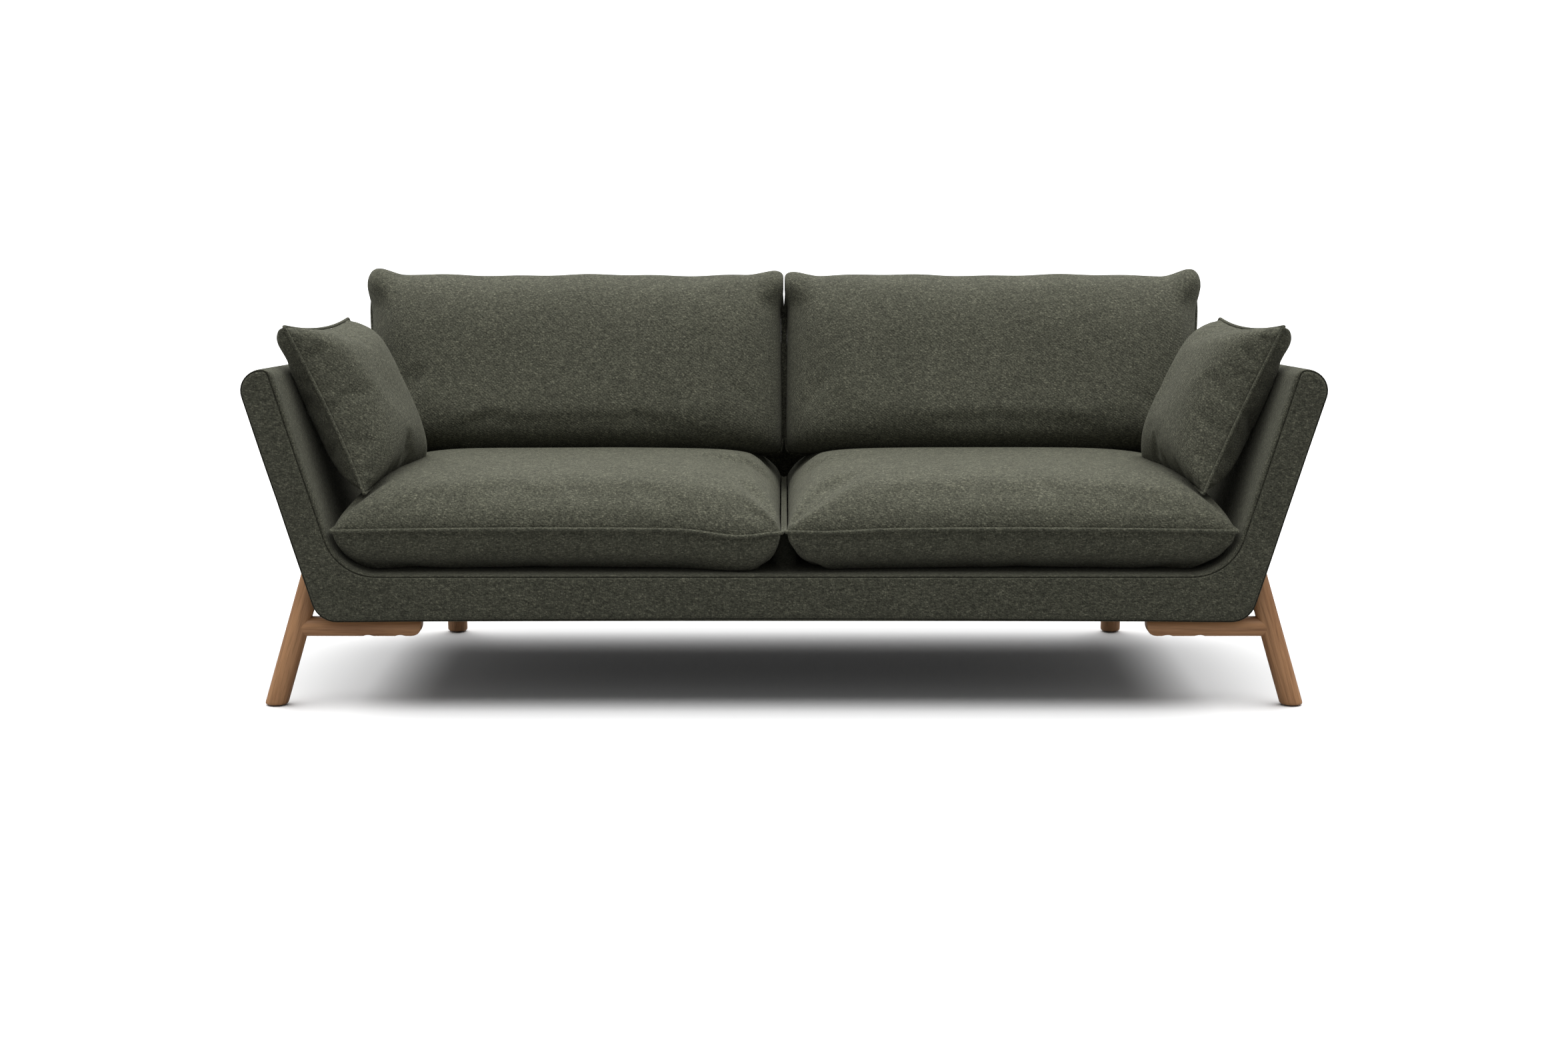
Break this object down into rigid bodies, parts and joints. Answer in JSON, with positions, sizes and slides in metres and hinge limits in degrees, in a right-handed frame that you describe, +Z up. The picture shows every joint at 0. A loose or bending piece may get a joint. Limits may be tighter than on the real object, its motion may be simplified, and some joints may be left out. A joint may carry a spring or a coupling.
{
  "type": "sofa",
  "caption": "Upholstered sofa with outward-leaning arms, loose seat, back and scatter cushions and round wooden legs, the front ones with short crossbars.",
  "frame": {"origin": "on the floor under the middle of the sofa", "axes": "+X to the right seen from the front, -Y towards the sitter, +Z up"},
  "size_m": [2.1086, 0.9003, 0.838],
  "materials": {
    "shell_fabric": "matte",
    "cushion_fabric": "matte",
    "lining_cloth": "matte",
    "filling": "matte",
    "foam": "matte",
    "webbing": "matte",
    "zip_tape": "matte",
    "frame_timber": "matte",
    "plywood": "matte",
    "leg_wood": "satin",
    "spring_steel": "satin",
    "fixing_steel": "satin",
    "glide_nylon": "matte"
  },
  "bodies": {
    "shell": {"arm_cover_left": "shell_fabric", "arm_cover_right": "shell_fabric", "arm_pad_left": "foam", "arm_pad_right": "foam", "back_pad": "foam", "back_posts": "frame_timber", "back_top_rail": "frame_timber", "back_webbing": "webbing", "center_rail": "frame_timber", "corner_blocks": "frame_timber", "crossbar_bolts": "fixing_steel", "crossbar_tee_nuts": "fixing_steel", "crossbar_tenons": "leg_wood", "crossbar_washers": "fixing_steel", "deck_cloth": "lining_cloth", "deck_pad": "foam", "dust_cover": "lining_cloth", "floor_glides": "glide_nylon", "front_crossbar_left": "leg_wood", "front_crossbar_right": "leg_wood", "front_facing_cover": "shell_fabric", "front_leg_blocks": "frame_timber", "front_leg_left": "leg_wood", "front_leg_right": "leg_wood", "front_pad": "foam", "front_rail": "frame_timber", "inner_corner_pads": "foam", "inside_back_cover": "shell_fabric", "leg_head_bolts": "fixing_steel", "leg_head_inserts": "fixing_steel", "outside_back_cover": "shell_fabric", "rear_hanger_bolts": "fixing_steel", "rear_leg_blocks": "frame_timber", "rear_leg_left": "leg_wood", "rear_leg_plates": "fixing_steel", "rear_leg_right": "leg_wood", "rear_plate_screws": "fixing_steel", "rear_rail": "frame_timber", "seat_springs": "spring_steel", "side_panel_left": "plywood", "side_panel_right": "plywood", "spring_clips": "spring_steel"},
    "seat_cushion_left": {"seat_cushion_core_left": "filling", "seat_cushion_cover_left": "cushion_fabric", "seat_cushion_zip_left": "zip_tape"},
    "back_cushion_left": {"back_cushion_core_left": "filling", "back_cushion_cover_left": "cushion_fabric", "back_cushion_zip_left": "zip_tape"},
    "scatter_cushion_left": {"scatter_cushion_core_left": "filling", "scatter_cushion_cover_left": "cushion_fabric", "scatter_cushion_zip_left": "zip_tape"},
    "seat_cushion_right": {"seat_cushion_core_right": "filling", "seat_cushion_cover_right": "cushion_fabric", "seat_cushion_zip_right": "zip_tape"},
    "back_cushion_right": {"back_cushion_core_right": "filling", "back_cushion_cover_right": "cushion_fabric", "back_cushion_zip_right": "zip_tape"},
    "scatter_cushion_right": {"scatter_cushion_core_right": "filling", "scatter_cushion_cover_right": "cushion_fabric", "scatter_cushion_zip_right": "zip_tape"}
  },
  "joints": [
    {"name": "seat_left_lift", "type": "slide", "parent": "shell", "child": "seat_cushion_left", "axis": [0, 0, 1], "range_m": [0, 0.42]},
    {"name": "back_left_lift", "type": "slide", "parent": "seat_cushion_left", "child": "back_cushion_left", "axis": [0, 0, 1], "range_m": [0, 0.35]},
    {"name": "scatter_left_lift", "type": "slide", "parent": "seat_cushion_left", "child": "scatter_cushion_left", "axis": [0, 0, 1], "range_m": [0, 0.3]},
    {"name": "seat_right_lift", "type": "slide", "parent": "shell", "child": "seat_cushion_right", "axis": [0, 0, 1], "range_m": [0, 0.42]},
    {"name": "back_right_lift", "type": "slide", "parent": "seat_cushion_right", "child": "back_cushion_right", "axis": [0, 0, 1], "range_m": [0, 0.35]},
    {"name": "scatter_right_lift", "type": "slide", "parent": "seat_cushion_right", "child": "scatter_cushion_right", "axis": [0, 0, 1], "range_m": [0, 0.3]}
  ]
}
